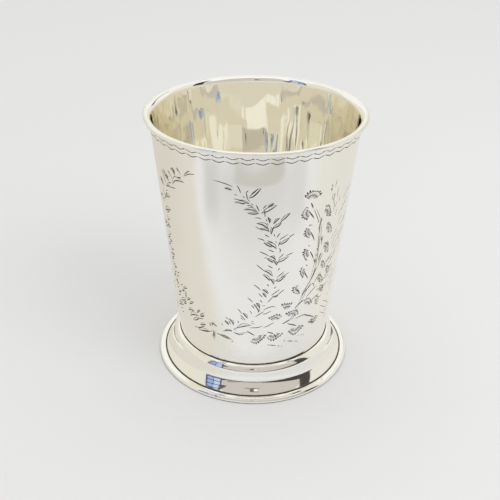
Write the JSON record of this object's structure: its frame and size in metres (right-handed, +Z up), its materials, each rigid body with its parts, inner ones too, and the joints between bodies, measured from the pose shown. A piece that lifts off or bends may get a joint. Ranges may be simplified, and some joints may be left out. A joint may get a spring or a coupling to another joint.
{
  "type": "drinking cup",
  "caption": "Handle-less silver christening cup: tapered engraved wall with a rounded rim wire, on a spreading hollow foot with a flat band. Stands upright and holds a drink.",
  "frame": {"origin": "on the cup's axis, at the surface that the foot stands on", "axes": "+Z up along the cup's axis; -Y faces the viewer of the picture and +X is to that viewer's right"},
  "size_m": [0.07, 0.07, 0.0893],
  "materials": {
    "engraved_silver": "polished silver with bright-cut engraving, darkened in the cuts",
    "polished_silver": "polished silver, tarnished in the joints",
    "worn_silver": "polished silver, dulled by use"
  },
  "bodies": {
    "root": {"cup_wall": "engraved_silver", "bottom_disc": "worn_silver", "rim_wire": "polished_silver", "foot_ring": "polished_silver", "base_band": "polished_silver"}
  },
  "joints": []
}
